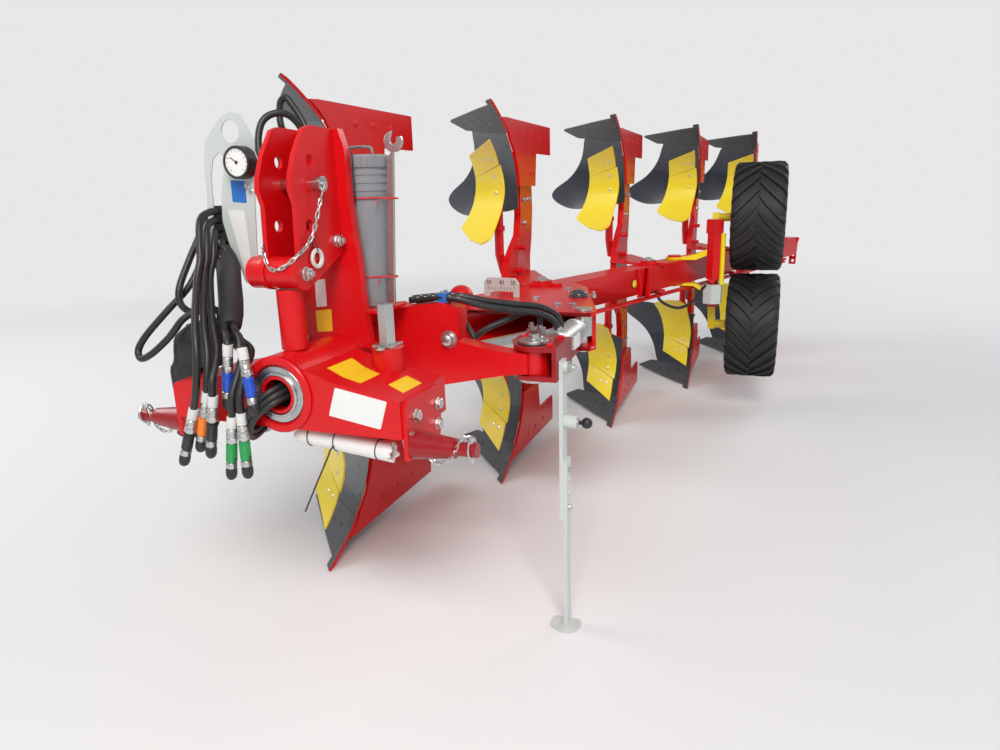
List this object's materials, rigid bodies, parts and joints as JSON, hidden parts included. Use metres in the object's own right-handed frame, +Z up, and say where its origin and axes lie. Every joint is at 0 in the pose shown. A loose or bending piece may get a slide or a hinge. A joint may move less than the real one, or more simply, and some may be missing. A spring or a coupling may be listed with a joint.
{
  "type": "mounted reversible mouldboard plough",
  "caption": "Mounted reversible mouldboard plough: turnover headstock, diagonal beam with paired plough bodies and skimmers, twin depth wheels and a parking stand.",
  "frame": {"origin": "middle of the plough's footprint at ground level", "axes": "+Z up, -Y the direction of travel towards the tractor, +X to the side that the beam runs out to"},
  "size_m": [2.3285, 5.3573, 1.762],
  "materials": {
    "red_paint": "glossy enamel",
    "dark_red_paint": "glossy enamel",
    "yellow_paint": "glossy enamel",
    "white_paint": "satin enamel",
    "graphite_steel": "satin protective lacquer",
    "zinc": "zinc plated",
    "bright_steel": "machined",
    "tyre": "new rubber",
    "hose_rubber": "matt",
    "grey_plastic": "moulded",
    "black_cloth": "coated cloth",
    "black_plastic": "moulded"
  },
  "bodies": {
    "headstock": {"headstock": "red_paint", "tower": "red_paint", "link_pins": "dark_red_paint", "top_link_pin": "bright_steel", "turnover_cylinder": "red_paint", "tool_post": "zinc", "container": "grey_plastic", "wrench": "zinc", "hose_panel": "white_paint", "grommet": "hose_rubber", "bag": "black_cloth", "gauge": "black_plastic", "hose_1": "hose_rubber", "hose_2": "hose_rubber", "hose_3": "hose_rubber", "hose_4": "hose_rubber", "hose_5": "hose_rubber", "hose_6": "hose_rubber", "hose_7": "hose_rubber", "hose_8": "hose_rubber", "hose_9": "hose_rubber", "couplings": "zinc"},
    "swivel": {"turnover_shaft": "bright_steel", "turnover_arm": "red_paint", "spindle": "zinc"},
    "frame": {"fork": "dark_red_paint", "pivot_pin": "zinc", "beam": "red_paint", "width_cylinder": "zinc", "scale_plate": "white_paint"},
    "rod": {"steering_rod": "red_paint"},
    "carrier": {"wheel_carrier": "red_paint", "height_box": "white_paint", "wheel_levers": "yellow_paint", "wheel_arms": "yellow_paint"},
    "lower_wheel": {"tyre_lower": "tyre", "rim_lower": "white_paint"},
    "upper_wheel": {"tyre_upper": "tyre", "rim_upper": "white_paint"},
    "stand": {"stand": "white_paint", "stand_knob": "black_plastic"},
    "body_pair_1": {"console_1": "red_paint", "bottoms_1": "graphite_steel", "skimmers_1": "yellow_paint"},
    "body_pair_2": {"console_2": "red_paint", "bottoms_2": "graphite_steel", "skimmers_2": "yellow_paint"},
    "body_pair_3": {"console_3": "red_paint", "bottoms_3": "graphite_steel", "skimmers_3": "yellow_paint"},
    "body_pair_4": {"console_4": "red_paint", "bottoms_4": "graphite_steel", "skimmers_4": "yellow_paint"},
    "body_pair_5": {"console_5": "red_paint", "bottoms_5": "graphite_steel", "skimmers_5": "yellow_paint"}
  },
  "joints": [
    {"name": "turnover", "type": "hinge", "parent": "headstock", "child": "swivel", "pos_m": [-0.2442, -2.39217, 0.881], "axis": [0, -1, 0], "range_deg": [0, 180]},
    {"name": "width_swing", "type": "hinge", "parent": "swivel", "child": "frame", "pos_m": [0.2858, -2.10917, 0.881], "axis": [0, 0, -1], "range_deg": [-2.3, 10]},
    {"name": "carrier_pivot", "type": "hinge", "parent": "frame", "child": "carrier", "pos_m": [0.40415, 0.30794, 0.881], "axis": [0, 0, -1], "range_deg": [-10.1, 2.4]},
    {"name": "lower_wheel_spin", "type": "hinge", "parent": "carrier", "child": "lower_wheel", "pos_m": [0.86915, 0.50794, 0.528], "axis": [1, 0, 0], "continuous": true},
    {"name": "upper_wheel_spin", "type": "hinge", "parent": "carrier", "child": "upper_wheel", "pos_m": [0.86915, 0.50794, 1.189], "axis": [1, 0, 0], "continuous": true},
    {"name": "stand_fold", "type": "hinge", "parent": "frame", "child": "stand", "pos_m": [0.3878, -2.13317, 0.87], "axis": [1, 0, 0], "range_deg": [0, 90]},
    {"name": "body_pair_1_pivot", "type": "hinge", "parent": "frame", "child": "body_pair_1", "pos_m": [-0.3812, -1.92217, 0.881], "axis": [0, 0, -1], "range_deg": [-10.1, 2.4]},
    {"name": "body_pair_2_pivot", "type": "hinge", "parent": "frame", "child": "body_pair_2", "pos_m": [-0.04239, -0.96009, 0.881], "axis": [0, 0, -1], "range_deg": [-10.1, 2.4]},
    {"name": "body_pair_3_pivot", "type": "hinge", "parent": "frame", "child": "body_pair_3", "pos_m": [0.29641, 0.002, 0.881], "axis": [0, 0, -1], "range_deg": [-10.1, 2.4]},
    {"name": "body_pair_4_pivot", "type": "hinge", "parent": "frame", "child": "body_pair_4", "pos_m": [0.63522, 0.96409, 0.881], "axis": [0, 0, -1], "range_deg": [-10.1, 2.4]},
    {"name": "body_pair_5_pivot", "type": "hinge", "parent": "frame", "child": "body_pair_5", "pos_m": [0.97402, 1.92617, 0.881], "axis": [0, 0, -1], "range_deg": [-10.1, 2.4]},
    {"name": "rod_pivot", "type": "hinge", "parent": "body_pair_1", "child": "rod", "pos_m": [-0.3062, -1.94217, 0.781], "axis": [0, 0, -1], "range_deg": [-2.4, 10.1]}
  ],
  "couplings": [
    {"joint": "carrier_pivot", "follows": "width_swing", "ratio": -1},
    {"joint": "body_pair_1_pivot", "follows": "width_swing", "ratio": -1},
    {"joint": "body_pair_2_pivot", "follows": "width_swing", "ratio": -1},
    {"joint": "body_pair_3_pivot", "follows": "width_swing", "ratio": -1},
    {"joint": "body_pair_4_pivot", "follows": "width_swing", "ratio": -1},
    {"joint": "body_pair_5_pivot", "follows": "width_swing", "ratio": -1},
    {"joint": "rod_pivot", "follows": "width_swing", "ratio": 1}
  ]
}
